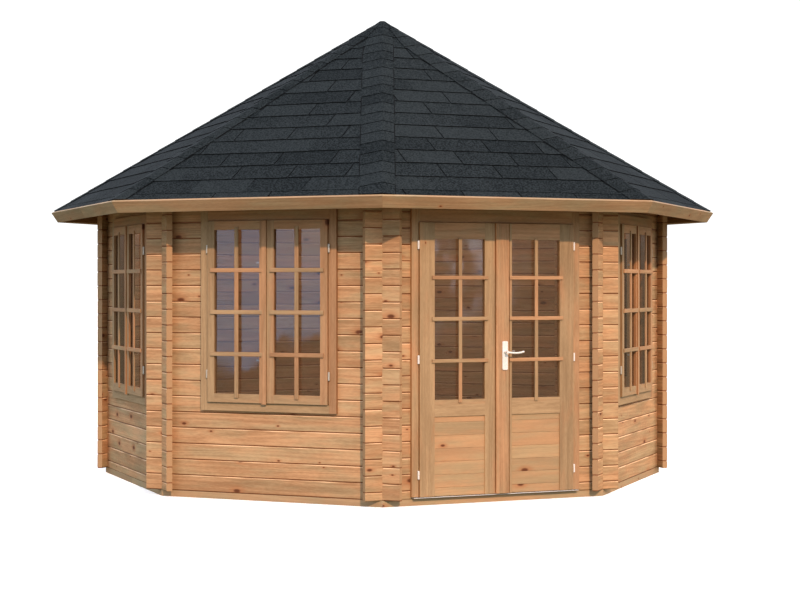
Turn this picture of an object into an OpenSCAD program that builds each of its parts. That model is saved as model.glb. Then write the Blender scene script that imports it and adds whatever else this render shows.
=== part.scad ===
// Octagonal log gazebo: notched log walls, a double door, four double windows and a shingled tent roof.
// Millimetres, +Z up, origin on the ground under the apex, door wall facing -Y.

/* [Walls] */
// Width across the outer faces of opposite walls
across_flats = 4200; // [3900:20:4600]
// Thickness of a log
log_thick = 44; // [38:1:56]
// Cover height of a log
log_high = 114; // [108:1:120]
// Height of a wall counted in half logs
half_log_count = 39; // [37:2:41]
// Length of the crossed log ends past the outer corner
log_overhang = 128; // [90:2:150]
// Chamfer along the edges of a log
log_chamfer = 6; // [2:0.5:7]
// Width of the tongue along a log
tongue_wide = 14; // [8:1:18]
// Height of the tongue along a log
tongue_high = 8; // [5:1:12]

/* [Foundation and floor] */
// Height of the foundation beams
base_high = 45; // [35:1:70]
// Width of the foundation beams
base_wide = 70; // [60:1:100]
// Width of a floor joist
joist_wide = 45; // [35:1:60]
// Spacing of the floor joists
joist_pitch = 560; // [450:10:650]
// Thickness of the floor deck
deck_thick = 19; // [15:1:28]

/* [Roof] */
// Pitch of the roof faces in degrees
roof_pitch = 32.16; // [28:0.02:36]
// Level distance from the wall face to the front edge of the eave
eave_overhang = 413; // [330:1:450]
// Thickness of the roof boards
board_thick = 19; // [15:1:25]
// Thickness of the shingle layer
shingle_thick = 8; // [5:1:12]
// Width of the fascia boards
fascia_wide = 91; // [85:1:120]
// Thickness of the fascia boards
fascia_thick = 20; // [15:1:28]
// Width of the hip rafters
rafter_wide = 44; // [36:1:60]
// Flat radius of the hub under the apex
hub_r = 80; // [70:1:110]
// Length of the hub below the rafters
hub_drop = 30; // [10:1:80]

/* [Windows] */
// Width over the outer casing
window_wide = 1066; // [900:2:1160]
// Height of the casing's lower edge above the ground
window_sill = 636; // [560:2:800]
// Full logs beside the doorway, which set the head of door and windows
opening_log_count = 17; // [16:1:17]
// Face width of the window casing at the sides and sill
casing_face = 58; // [48:1:66]
// Face width of the window casing at the head
window_head_face = 70; // [60:1:90]
// How far the casing stands proud of the logs
casing_proud = 25; // [20:1:32]
// Thickness of the casing inside the room
casing_inner = 18; // [14:1:24]
// Lap of the casing over the cut logs
casing_lap = 24; // [16:1:30]
// Width of the sash stiles
sash_stile = 56; // [46:1:66]
// Height of the sash rails
sash_rail = 62; // [50:1:80]
// Thickness of the sashes and of the door leaves
leaf_thick = 42; // [36:1:46]
// How far the sashes and the door leaves stand proud of the casing
leaf_proud = 16; // [8:1:20]
// Width of the strip that covers the meeting of two sashes
sash_cover_wide = 35; // [25:1:50]
// Thickness of the glass
glass_thick = 4; // [3:1:6]

/* [Door] */
// Length of wall between the door casing and the outer corner
door_side = 210; // [180:5:270]
// Face width of the door casing at the sides
door_face = 51; // [44:1:60]
// Face width of the door casing at the head
door_head_face = 89; // [80:1:100]
// Running gap round the door leaves
leaf_gap = 5; // [4:0.5:8]
// Running gap between the two leaves
meeting_gap = 7; // [6:0.5:9]
// Place of the right leaf's meeting edge left of the middle
meeting_offset = 20; // [0:1:30]
// Width of the stiles on the hinge side
hinge_stile = 112; // [90:1:130]
// Width of the left leaf's meeting stile
left_stile = 77; // [60:1:100]
// Width of the right leaf's meeting stile
right_stile = 128; // [110:1:150]
// Height of the top rail
top_rail = 113; // [90:1:130]
// Height of the middle rail
middle_rail = 116; // [90:1:140]
// Height of the boarded panel under the middle rail
panel_high = 555; // [450:5:650]
// Thickness of the boarded panel
panel_thick = 14; // [11:1:16]
// Height of the inner bottom rail
bottom_rail = 92; // [70:1:120]
// Width of the cover strip on the right leaf
cover_wide = 98; // [80:1:110]
// Thickness of the cover strip
cover_thick = 12; // [8:1:16]
// Width of the groove beside the cover strip
cover_groove = 12; // [6:1:16]
// Height of the threshold strip
threshold_high = 12; // [8:1:16]

/* [Hardware] */
// Radius of a hinge barrel
barrel_r = 7.5; // [5:0.5:9]
// Length of a hinge barrel
barrel_long = 60; // [44:2:70]
// Radius of a hinge pin
pin_r = 3.5; // [2.5:0.5:4.5]
// Width of the lock plate
plate_wide = 42; // [34:1:50]
// Height of the lock plate
plate_high = 203; // [170:1:230]
// Thickness of the lock plate
plate_thick = 8; // [5:1:10]
// Height of the lever's axis above the ground
lever_z = 1062; // [1000:1:1120]
// Reach of the lever from its axis
lever_reach = 132; // [100:1:140]
// Distance of the lever from its plate
lever_off = 38; // [30:1:50]
// Radius of the lever's neck
lever_r = 9; // [8:0.5:10]
// Radius of the lever's arm
lever_arm_r = 7; // [5:0.5:7]
// Radius of the lever's tip
lever_tip_r = 7.5; // [7.5:0.5:9]
// Radius of the bend along the lever's arm
lever_bend = 250; // [220:5:400]
// Radius of the spindle through the leaf
spindle_r = 5; // [4:0.5:6]

/* [Hidden] */
$fn = 48;

// Fits and cuts
fit = 0.3;              // between pieces that seat on each other
course_gap = 0.4;       // between two logs, and in their notches
over = 5;               // overrun of a cut
groove_in = 10;         // depth of the grooves for glass and panels
joint_fit = 0.2;        // glue line between stiles and rails

// Octagon
sides = 8;
turn = 360 / sides;
half_turn = turn / 2;
face_r = across_flats / 2;
inner_r = face_r - log_thick;
corner_r = face_r / cos(half_turn);
wall_half = face_r * tan(half_turn);
log_half_long = wall_half + log_overhang;
WALL_ANGLES = [for (i = [0 : sides - 1]) i * turn];
FRONT = -90;
FRONT_RIGHT = FRONT + turn;
RIGHT = FRONT + 2 * turn;
BACK_RIGHT = FRONT + 3 * turn;
BACK = FRONT + 4 * turn;
BACK_LEFT = FRONT + 5 * turn;
LEFT = FRONT + 6 * turn;
FRONT_LEFT = FRONT + 7 * turn;

// Heights
step_high = log_high / 2;
notch_deep = log_high / 4;
wall_top = base_high + half_log_count * step_high;
opening_top = base_high + step_high + opening_log_count * log_high;
head_top = opening_top + casing_lap;
deck_top = base_high + deck_thick;
frame_back = log_thick + fit + casing_inner;

// Roof planes: underside of the boards meets the inner edge of the bevelled eave logs
tilt = tan(roof_pitch);
under_apex = wall_top + log_high + inner_r * tilt;
roof_thick = board_thick + shingle_thick;
eave_s = (face_r + eave_overhang - roof_thick * sin(roof_pitch)) / cos(roof_pitch);
fascia_back_s = eave_s - fascia_thick;
roof_joint = 0.15;      // half of the mitre gap between roof faces
seat_z = wall_top + fit;
heel_gap = 5;           // rafter tail to the crossed logs
heel_r = face_r + rafter_wide * sin(half_turn) + heel_gap;
rafter_start = hub_r + fit;

// Backs of the sashes and leaves, and the stops behind their edges
leaf_back = leaf_thick - casing_proud - leaf_proud;
stop_in = 12;

// Window opening and sashes
window_half = window_wide / 2;
window_cut_half = window_half - casing_lap;
window_cut_low = window_sill + casing_lap;
sash_half = window_half - casing_face;
sash_low = window_sill + casing_face;
sash_high = head_top - window_head_face;
sash_gap = 3;           // sash to frame, all round
sash_meeting = 2;       // between the two sashes, under the cover strip
sash_cover_thick = 10;
sash_cover_drop = 8;    // cover strip past the lower edge of the sashes
sash_hinge_in = 200;    // hinge middle from the sash's end

// Door opening and leaves
door_half = wall_half - door_side;
door_cut_half = door_half - casing_lap;
frame_half = door_half - door_face;
frame_top = head_top - door_head_face;
stop_back = leaf_back + leaf_gap;
leaf_half = frame_half - leaf_gap;
threshold_top = base_high + threshold_high;
threshold_nose = threshold_high / 2;
threshold_recess = 8;   // under the nose
threshold_bevel = 2;
leaf_low = threshold_top + leaf_gap;
leaf_top = frame_top - leaf_gap;
panel_top = leaf_low + panel_high;
panel_set = 8;          // panel face behind the leaf's face
right_edge = -meeting_offset;
left_edge = right_edge - meeting_gap;
HINGE_SHARES = [0.08, 0.5, 0.918];
hinge_y = -(casing_proud + barrel_r + fit);
hinge_x = leaf_half + barrel_r + fit;
sash_hinge_x = sash_half - sash_gap + barrel_r + fit;
pin_fit = 0.3;
knuckle_gap = 0.6;
barrel_chamfer = 2;

// Lock
plate_round = 10;
plate_x = right_edge + cover_wide * 2 / 3;
plate_drop = 26;        // middle of the plate below the lever's axis
bore_fit = 3;           // spindle in the wood
keyhole_drop = 68;      // round of the lock cylinder below the lever's axis
cylinder_r = 8.5;
cylinder_web = 10;
cylinder_high = 33;
key_wide = 2.5;
key_high = 9;
lever_fall = 8;         // lowest point of the arm below the lever's axis
lever_dip = acos(1 - lever_fall / lever_bend);
lever_rise = asin((lever_reach - lever_tip_r) / lever_bend - sin(lever_dip));

WOOD = [0.76, 0.52, 0.31];
PALE_WOOD = [0.80, 0.60, 0.38];
METAL = [0.80, 0.80, 0.80];
GLASS = [0.35, 0.30, 0.28, 0.5];
SHINGLE = [0.22, 0.22, 0.23];

// Frames of reference

// Local wall frame: x along the wall, -y outwards from the outer log face
module on_wall(angle) {
    rotate([0, 0, angle - FRONT]) translate([0, -face_r, 0]) children();
}

// The same for sashes and leaves, which stand proud of the casing: their faces are at y = -casing_proud
module on_leaves(angle) {
    on_wall(angle) translate([0, -leaf_proud, 0]) children();
}

// Extrudes a profile of (depth, height) points along the wall
module along_wall(length) {
    rotate([90, 0, 90]) linear_extrude(length, center = true) children();
}

// Box from its two corners
module box(low, high) {
    translate(low) cube(high - low);
}

// Plan of one roof sector, drawn in from its hip planes
module sector(inset, reach) {
    polygon([
        [inset / sin(half_turn), 0],
        [reach, reach * tan(half_turn) - inset / cos(half_turn)],
        [reach, inset / cos(half_turn) - reach * tan(half_turn)]
    ]);
}

// Ring of eight mitred pieces from one (radius, height) profile
module mitred_ring(profile, inset) {
    reach = corner_r + eave_overhang + over;
    for (angle = WALL_ANGLES)
        rotate([0, 0, angle]) intersection() {
            rotate([90, 0, 0]) linear_extrude(2 * reach, center = true) polygon(profile);
            linear_extrude(under_apex + log_high) sector(inset, reach);
        }
}

// Point of a roof face from the distance down the slope and the height off the boards' underside
function slope_point(s, n) = [
    s * cos(roof_pitch) + n * sin(roof_pitch),
    under_apex - s * sin(roof_pitch) + n * cos(roof_pitch)
];

// Height of a plane parallel to the roof face at a radius
function roof_z(r, n) = under_apex - r * tilt + n / cos(roof_pitch);

// Foundation and floor

module foundation_beams() {
    color(WOOD) mitred_ring([
        [face_r - base_wide, 0],
        [face_r, 0],
        [face_r, base_high],
        [face_r - base_wide, base_high]
    ], roof_joint);
}

// Octagonal prism with its flats on the wall normals
module octagon(flat_r, high) {
    rotate([0, 0, half_turn]) cylinder(r = flat_r / cos(half_turn), h = high, $fn = sides);
}

module floor_joists() {
    bearing_r = face_r - base_wide - fit;
    rows = floor(bearing_r / joist_pitch);
    color(WOOD) intersection() {
        octagon(bearing_r, base_high);
        for (row = [-rows : rows])
            translate([row * joist_pitch - joist_wide / 2, -face_r, 0])
                cube([joist_wide, across_flats, base_high]);
    }
}

module floor_deck() {
    color(PALE_WOOD) translate([0, 0, base_high]) octagon(inner_r - fit, deck_thick);
}

// Log walls

// Log section with chamfered faces, a tongue on top and a groove below
function log_section(high, tongue, groove) = let (
    mid = log_thick / 2,
    half_tongue = tongue_wide / 2,
    half_groove = half_tongue + course_gap,
    groove_deep = tongue_high + course_gap
) concat(
    [[log_chamfer, 0]],
    groove ? [
        [mid - half_groove, 0], [mid - half_groove, groove_deep],
        [mid + half_groove, groove_deep], [mid + half_groove, 0]
    ] : [],
    [[log_thick - log_chamfer, 0], [log_thick, log_chamfer]],
    [[log_thick, high - log_chamfer], [log_thick - log_chamfer, high]],
    tongue ? [
        [mid + half_tongue, high], [mid + half_tongue, high + tongue_high],
        [mid - half_tongue, high + tongue_high], [mid - half_tongue, high]
    ] : [],
    [[log_chamfer, high], [0, high - log_chamfer], [0, log_chamfer]]
);

// Lowest and highest half step of every log in a wall
function log_steps(half_first) = [
    for (i = [half_first ? -1 : 0 : 2 : half_log_count - 1])
        [max(i, 0), min(i + 2, half_log_count)]
];

// Notch for the neighbouring wall across both ends of a log
module corner_notches(low, high) {
    for (side = [-turn, turn])
        rotate([0, 0, side]) translate([-corner_r, -face_r - course_gap, low])
            cube([2 * corner_r, log_thick + 2 * course_gap, high - low]);
}

// One log: steps are its lowest and highest half step, cut is the wall's opening as half width, low, high
module wall_log(steps, cut) {
    z0 = base_high + steps[0] * step_high;
    z1 = base_high + steps[1] * step_high - course_gap;
    half_log = steps[1] - steps[0] == 1;
    on_base = steps[0] == 0;
    on_top = steps[1] == half_log_count;
    difference() {
        translate([0, -face_r, z0]) along_wall(2 * log_half_long)
            polygon(log_section(z1 - z0, !on_top, !on_base));
        if (!(half_log && on_top))
            corner_notches(z1 - notch_deep, z1 + tongue_high + over);
        if (!(half_log && on_base))
            corner_notches(z0 - over, z0 + notch_deep);
        if (cut[0] > 0 && z1 > cut[1] && z0 < cut[2] - over)
            box(
                [-cut[0], -face_r - over, max(cut[1], z0 - over)],
                [cut[0], -inner_r + over, z1 > cut[2] ? cut[2] : z1 + tongue_high + over]
            );
    }
}

NO_CUT = [0, 0, 0];
WINDOW_CUT = [window_cut_half, window_cut_low, opening_top];
DOOR_CUT = [door_cut_half, base_high - over, opening_top];

// Walls on the axes start with a half log, the ones between with a full log
module log_wall(angle, half_first, cut) {
    color(WOOD) rotate([0, 0, angle - FRONT])
        for (steps = log_steps(half_first)) wall_log(steps, cut);
}

module front_wall() { log_wall(FRONT, true, DOOR_CUT); }
module front_right_wall() { log_wall(FRONT_RIGHT, false, WINDOW_CUT); }
module right_wall() { log_wall(RIGHT, true, WINDOW_CUT); }
module back_right_wall() { log_wall(BACK_RIGHT, false, NO_CUT); }
module back_wall() { log_wall(BACK, true, NO_CUT); }
module back_left_wall() { log_wall(BACK_LEFT, false, NO_CUT); }
module left_wall() { log_wall(LEFT, true, WINDOW_CUT); }
module front_left_wall() { log_wall(FRONT_LEFT, false, WINDOW_CUT); }

// Bevelled top logs that close the walls up to the roof boards between the rafters
module eave_logs() {
    color(WOOD) mitred_ring([
        [inner_r, seat_z],
        [face_r, seat_z],
        [face_r, roof_z(face_r, -fit)],
        [inner_r, roof_z(inner_r, -fit)]
    ], rafter_wide / 2 + fit);
}

// Frames, sashes and glass

// Channel section of a frame member, clasping the cut logs: x from the opening outwards, y through the wall
module channel(face, web) {
    polygon([
        [0, -casing_proud],
        [face, -casing_proud],
        [face, -fit],
        [web, -fit],
        [web, log_thick + fit],
        [face, log_thick + fit],
        [face, frame_back],
        [0, frame_back]
    ]);
}

// Room in a jamb for the uncut logs above or below the opening
module log_room(half, face, low, high) {
    box([half - over, -fit, low], [half + face + over, log_thick + fit, high]);
}

// Upright frame member at the right of an opening that is half wide, its web ending at the uncut logs
module jamb(half, face, web, low, web_low) {
    difference() {
        translate([half, 0, low]) linear_extrude(head_top - low) channel(face, web);
        log_room(half, face, opening_top - fit, head_top + over);
        if (web_low > low) log_room(half, face, low - over, web_low);
    }
}

// Level frame member over an opening, between the jambs
module head(half, face, web, z) {
    clear_half = half - joint_fit;
    translate([-clear_half, 0, z]) rotate([0, 90, 0]) mirror([1, 0, 0])
        linear_extrude(2 * clear_half) channel(face, web);
}

// Level stop behind the edge of a leaf, between the upright ones
module level_stop(half, low, front) {
    clear_half = half - stop_in - joint_fit;
    box([-clear_half, front, low], [clear_half, frame_back, low + stop_in - joint_fit]);
}

// Planted stops behind the edges of leaves: two uprights and a level one at the head
module stops(half, low, high, front) {
    for (side = [0, 1]) mirror([side, 0, 0])
        box([half - stop_in, front, low], [half - joint_fit, frame_back, high - joint_fit]);
    level_stop(half, high - stop_in, front);
}

module window_frame(angle) {
    web = casing_face - casing_lap - fit;
    head_web = window_head_face - casing_lap - fit;
    color(PALE_WOOD) on_wall(angle) {
        for (side = [0, 1])
            mirror([side, 0, 0])
                jamb(sash_half, casing_face, web, window_sill, window_cut_low + fit);
        head(sash_half, window_head_face, head_web, sash_high);
        translate([0, 0, 2 * sash_low]) mirror([0, 0, 1])
            head(sash_half, casing_face, web, sash_low);
        stops(sash_half, sash_low + joint_fit, sash_high, leaf_back + fit);
        level_stop(sash_half, sash_low + joint_fit, leaf_back + fit);
    }
}

// Glass pane as a box, grown for its groove
module pane(low, high, grow) {
    mid_y = leaf_thick / 2 - casing_proud;
    box(
        [low[0] - groove_in - grow, mid_y - glass_thick / 2 - grow, low[1] - groove_in - grow],
        [high[0] + groove_in + grow, mid_y + glass_thick / 2 + grow, high[1] + groove_in + grow]
    );
}

// Stile or rail of a leaf as a box over the leaf's thickness, from (x, z) to (x, z)
module member(low, high) {
    box(
        [low[0], -casing_proud, low[1]],
        [high[0], leaf_thick - casing_proud, high[1]]
    );
}

// Corners of the right sash and of its glass
SASH_LOW = [sash_meeting / 2, sash_low + sash_gap];
SASH_HIGH = [sash_half - sash_gap, sash_high - sash_gap];
PANE_LOW = SASH_LOW + [sash_stile, sash_rail];
PANE_HIGH = SASH_HIGH - [sash_stile, sash_rail];

module right_sash() {
    difference() {
        union() {
            member(SASH_LOW, [PANE_LOW[0] - joint_fit, SASH_HIGH[1]]);
            member([PANE_HIGH[0] + joint_fit, SASH_LOW[1]], SASH_HIGH);
            member([PANE_LOW[0], SASH_LOW[1]], [PANE_HIGH[0], PANE_LOW[1]]);
            member([PANE_LOW[0], PANE_HIGH[1]], [PANE_HIGH[0], SASH_HIGH[1]]);
        }
        pane(PANE_LOW, PANE_HIGH, joint_fit);
    }
}

module window_sashes(angle) {
    cover_y = -casing_proud - joint_fit;
    color(PALE_WOOD) on_leaves(angle) {
        for (side = [0, 1]) mirror([side, 0, 0]) right_sash();
        box(
            [-sash_cover_wide, cover_y - sash_cover_thick, SASH_LOW[1] - sash_cover_drop],
            [0, cover_y, SASH_HIGH[1]]
        );
    }
}

module window_glass(angle) {
    color(GLASS) on_leaves(angle)
        for (side = [0, 1]) mirror([side, 0, 0]) pane(PANE_LOW, PANE_HIGH, 0);
}

module front_left_window_frame() { window_frame(FRONT_LEFT); }
module front_left_window_sashes() { window_sashes(FRONT_LEFT); }
module front_left_window_glass() { window_glass(FRONT_LEFT); }
module left_window_frame() { window_frame(LEFT); }
module left_window_sashes() { window_sashes(LEFT); }
module left_window_glass() { window_glass(LEFT); }
module front_right_window_frame() { window_frame(FRONT_RIGHT); }
module front_right_window_sashes() { window_sashes(FRONT_RIGHT); }
module front_right_window_glass() { window_glass(FRONT_RIGHT); }
module right_window_frame() { window_frame(RIGHT); }
module right_window_sashes() { window_sashes(RIGHT); }
module right_window_glass() { window_glass(RIGHT); }

// Upper knuckle of a hinge whose knuckles meet at z = 0
module knuckle() {
    straight = (barrel_long - knuckle_gap) / 2 - barrel_chamfer;
    translate([0, 0, knuckle_gap / 2]) {
        cylinder(r = barrel_r, h = straight);
        translate([0, 0, straight])
            cylinder(r1 = barrel_r, r2 = barrel_r - barrel_chamfer, h = barrel_chamfer);
    }
}

// Barrel hinges on the casing, beside the sashes
module window_hinges() {
    color(METAL) for (angle = [FRONT_LEFT, LEFT, FRONT_RIGHT, RIGHT])
        on_wall(angle)
            for (side = [-1, 1], z = [SASH_LOW[1] + sash_hinge_in, SASH_HIGH[1] - sash_hinge_in])
                translate([side * sash_hinge_x, hinge_y, z])
                    for (end = [0, 1]) mirror([0, 0, end]) knuckle();
}

// Door

// Frame whose inner casing stands on the deck, and whose outer casing ends level with the leaves
module door_frame() {
    web = door_face - casing_lap - fit;
    head_web = door_head_face - casing_lap - fit;
    color(PALE_WOOD) on_wall(FRONT) {
        for (side = [0, 1]) mirror([side, 0, 0]) difference() {
            jamb(frame_half, door_face, web, base_high, base_high);
            box(
                [frame_half - over, log_thick, base_high - over],
                [door_half + over, frame_back + over, deck_top + fit]
            );
            box(
                [frame_half - over, -casing_proud - over, base_high - over],
                [door_half + over, -fit, leaf_low]
            );
        }
        head(frame_half, door_head_face, head_web, frame_top);
        stops(frame_half, deck_top + fit, frame_top, stop_back);
    }
}

// Metal threshold with a bevelled nose over a recess
module door_threshold() {
    half = frame_half - fit;
    nose_low = threshold_top - threshold_nose;
    color(METAL) on_wall(FRONT) along_wall(2 * half) polygon([
        [threshold_recess, base_high],
        [log_thick, base_high],
        [log_thick, threshold_top],
        [threshold_bevel, threshold_top],
        [0, threshold_top - threshold_bevel],
        [0, nose_low],
        [threshold_recess, nose_low]
    ]);
}

// Boarded panel in the lower part of a leaf, grown for its groove
module leaf_board(low_x, high_x, grow) {
    front = panel_set - casing_proud;
    box(
        [low_x - groove_in - grow, front - grow, leaf_low - grow],
        [high_x + groove_in + grow, front + panel_thick + grow, panel_top + groove_in + grow]
    );
}

// Stiles and rails of a leaf from low_x to high_x, open between the stiles from in_low to in_high
module leaf_frame(low_x, high_x, in_low, in_high) {
    glass_low = panel_top + middle_rail;
    glass_high = leaf_top - top_rail;
    difference() {
        union() {
            member([low_x, leaf_low], [in_low - joint_fit, leaf_top]);
            member([in_high + joint_fit, leaf_low], [high_x, leaf_top]);
            member([in_low, glass_high], [in_high, leaf_top]);
            member([in_low, panel_top], [in_high, glass_low]);
        }
        pane([in_low, glass_low], [in_high, glass_high], joint_fit);
        leaf_board(in_low, in_high, joint_fit);
    }
    box(
        [in_low, panel_set + panel_thick + joint_fit - casing_proud, leaf_low],
        [in_high, leaf_thick - casing_proud, leaf_low + bottom_rail]
    );
}

LEFT_IN = [hinge_stile - leaf_half, left_edge - left_stile];
RIGHT_IN = [right_edge + right_stile, leaf_half - hinge_stile];

module spindle_bore() {
    translate([plate_x, 0, lever_z]) rotate([90, 0, 0])
        cylinder(r = spindle_r + bore_fit, h = 2 * (leaf_thick + cover_thick), center = true);
}

module left_door_leaf() {
    color(PALE_WOOD) on_leaves(FRONT) leaf_frame(-leaf_half, left_edge, LEFT_IN[0], LEFT_IN[1]);
}

// Right leaf, grooved beside the cover strip
module right_door_leaf() {
    groove_x = right_edge + cover_wide;
    color(PALE_WOOD) on_leaves(FRONT) difference() {
        leaf_frame(right_edge, leaf_half, RIGHT_IN[0], RIGHT_IN[1]);
        spindle_bore();
        box(
            [groove_x, -casing_proud - over, leaf_low - over],
            [groove_x + cover_groove, groove_in - casing_proud, leaf_top + over]
        );
    }
}

module left_door_panel() {
    color(WOOD) on_leaves(FRONT) leaf_board(LEFT_IN[0], LEFT_IN[1], 0);
}

module right_door_panel() {
    color(WOOD) on_leaves(FRONT) leaf_board(RIGHT_IN[0], RIGHT_IN[1], 0);
}

module leaf_glass(inside) {
    color(GLASS) on_leaves(FRONT)
        pane([inside[0], panel_top + middle_rail], [inside[1], leaf_top - top_rail], 0);
}

module left_door_glass() { leaf_glass(LEFT_IN); }
module right_door_glass() { leaf_glass(RIGHT_IN); }

module door_cover_strip() {
    cover_back = -casing_proud - joint_fit;
    color(PALE_WOOD) on_leaves(FRONT) difference() {
        box(
            [right_edge, cover_back - cover_thick, leaf_low],
            [right_edge + cover_wide, cover_back, leaf_top]
        );
        spindle_bore();
    }
}

// Places children at the three hinges of a leaf, side is -1 for the left and 1 for the right
module at_hinges(side) {
    on_wall(FRONT) for (share = HINGE_SHARES)
        translate([side * hinge_x, hinge_y, leaf_low + share * (leaf_top - leaf_low)]) children();
}

// Lower knuckles, bored for the pins
module door_frame_hinges() {
    color(METAL) for (side = [-1, 1]) at_hinges(side) difference() {
        mirror([0, 0, 1]) knuckle();
        translate([0, 0, -barrel_long / 2 + barrel_r])
            cylinder(r = pin_r + pin_fit, h = barrel_long);
    }
}

// Upper knuckles with their pins
module leaf_knuckles(side) {
    color(METAL) at_hinges(side) {
        knuckle();
        translate([0, 0, -barrel_long / 2 + barrel_r + knuckle_gap])
            cylinder(r = pin_r, h = barrel_long / 2);
    }
}

module left_door_hinges() { leaf_knuckles(-1); }
module right_door_hinges() { leaf_knuckles(1); }

// Section of the lock cylinder, round above and narrow below, grown for its hole
module cylinder_section(grow) {
    web = cylinder_web + 2 * grow;
    translate([0, -keyhole_drop]) {
        circle(cylinder_r + grow);
        translate([-web / 2, cylinder_r - cylinder_high - grow])
            square([web, cylinder_high - cylinder_r + grow]);
    }
}

// Lock plate with round corners and a lock cylinder, its back at y = 0
module lock_plate() {
    across = plate_wide / 2 - plate_round;
    along = plate_high / 2 - plate_round;
    rotate([90, 0, 0]) linear_extrude(plate_thick) difference() {
        translate([0, -plate_drop]) union() {
            square([plate_wide, 2 * along], center = true);
            square([2 * across, plate_high], center = true);
            for (x = [-across, across], y = [-along, along]) translate([x, y]) circle(plate_round);
        }
        circle(spindle_r + pin_fit);
        cylinder_section(fit);
    }
    rotate([90, 0, 0]) linear_extrude(plate_thick) difference() {
        cylinder_section(0);
        translate([0, -keyhole_drop]) square([key_wide, key_high], center = true);
    }
}

PLATE_OUT = -casing_proud - cover_thick - 2 * joint_fit;
PLATE_IN = leaf_thick - casing_proud + joint_fit;

module door_lock_plates() {
    color(METAL) on_leaves(FRONT) {
        translate([plate_x, PLATE_OUT, lever_z]) lock_plate();
        translate([plate_x, PLATE_IN, lever_z]) mirror([0, 1, 0]) lock_plate();
    }
}

// Arm of a lever in the plane y = 0, an arc that falls from the neck and rises to the tip
module lever_arm() {
    translate([lever_bend * sin(lever_dip), 0, lever_bend * cos(lever_dip)]) rotate([90, 0, 0]) {
        rotate([0, 0, -90 - lever_dip]) rotate_extrude(angle = lever_dip + lever_rise)
            translate([lever_bend, 0]) circle(lever_arm_r);
        rotate([0, 0, lever_rise - 90]) translate([lever_bend, 0, 0]) sphere(lever_tip_r);
    }
}

// Outer and inner lever on one spindle
module door_lever() {
    out_y = PLATE_OUT - plate_thick;
    in_y = PLATE_IN + plate_thick;
    neck_long = lever_off + lever_r - fit;
    color(METAL) on_leaves(FRONT) translate([plate_x, 0, lever_z]) {
        translate([0, out_y - fit, 0]) rotate([90, 0, 0]) cylinder(r = lever_r, h = neck_long);
        translate([0, in_y + fit, 0]) rotate([-90, 0, 0]) cylinder(r = lever_r, h = neck_long);
        translate([0, in_y + fit + over, 0]) rotate([90, 0, 0])
            cylinder(r = spindle_r, h = in_y - out_y + 2 * (fit + over));
        for (y = [out_y - lever_off, in_y + lever_off]) translate([0, y, 0]) lever_arm();
    }
}

// Roof

// Point of a hip rafter's side from a point of the roof face beside it
function hip_point(p) = [(p[0] - rafter_wide / 2 * sin(half_turn)) / cos(half_turn), p[1]];

// Radius on the roof face beside a hip rafter at a radius along the hip
function beside_hip(r) = r * cos(half_turn) + rafter_wide / 2 * sin(half_turn);

// Hip rafters, plumb cut at the hub, notched over the wall corners and thinned to a tail behind the fascia
module hip_rafters() {
    start_r = beside_hip(rafter_start);
    rafter_deep = (roof_z(inner_r, 0) - seat_z) * cos(roof_pitch);
    tail_deep = (roof_z(heel_r, 0) - seat_z) * cos(roof_pitch);
    profile = [
        [rafter_start, roof_z(start_r, -fit)],
        hip_point(slope_point(fascia_back_s - fit, -fit)),
        hip_point(slope_point(fascia_back_s - fit, -tail_deep)),
        hip_point([heel_r, seat_z]),
        hip_point([inner_r, seat_z]),
        [rafter_start, roof_z(start_r, -rafter_deep)]
    ];
    color(WOOD) for (angle = WALL_ANGLES)
        rotate([0, 0, angle + half_turn]) rotate([90, 0, 0])
            linear_extrude(rafter_wide, center = true) polygon(profile);
}

module roof_hub() {
    start_r = beside_hip(rafter_start);
    hub_low = roof_z(start_r, 0) - log_high - hub_drop;
    hub_top = roof_z(hub_r / cos(half_turn), -fit);
    color(WOOD) translate([0, 0, hub_low])
        cylinder(r = hub_r / cos(half_turn), h = hub_top - hub_low, $fn = sides);
}

// Roof layer between two heights off the boards' underside, ending behind the fascia
module roof_layer(low, high) {
    mitred_ring([
        [0, roof_z(0, low)],
        [0, roof_z(0, high)],
        slope_point(fascia_back_s - fit, high),
        slope_point(fascia_back_s - fit, low)
    ], roof_joint);
}

module roof_boards() {
    color(PALE_WOOD) roof_layer(0, board_thick);
}

module shingle_faces() {
    color(SHINGLE) roof_layer(board_thick + fit, roof_thick);
}

module fascia_boards() {
    color(PALE_WOOD) mitred_ring([
        slope_point(fascia_back_s, roof_thick - fascia_wide),
        slope_point(eave_s, roof_thick - fascia_wide),
        slope_point(eave_s, roof_thick),
        slope_point(fascia_back_s, roof_thick)
    ], roof_joint);
}

foundation_beams();
floor_joists();
floor_deck();
front_wall();
front_right_wall();
right_wall();
back_right_wall();
back_wall();
back_left_wall();
left_wall();
front_left_wall();
eave_logs();
front_left_window_frame();
front_left_window_sashes();
front_left_window_glass();
left_window_frame();
left_window_sashes();
left_window_glass();
front_right_window_frame();
front_right_window_sashes();
front_right_window_glass();
right_window_frame();
right_window_sashes();
right_window_glass();
window_hinges();
door_frame();
door_threshold();
door_frame_hinges();
left_door_leaf();
left_door_panel();
left_door_glass();
left_door_hinges();
right_door_leaf();
right_door_panel();
right_door_glass();
right_door_hinges();
door_cover_strip();
door_lock_plates();
door_lever();
hip_rafters();
roof_hub();
roof_boards();
shingle_faces();
fascia_boards();
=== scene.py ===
"""Looks of an octagonal log gazebo: woods, shingles, glazing bars, boards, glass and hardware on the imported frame."""
import math
import random

import bmesh
import bpy
from mathutils import Matrix, Vector


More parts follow.
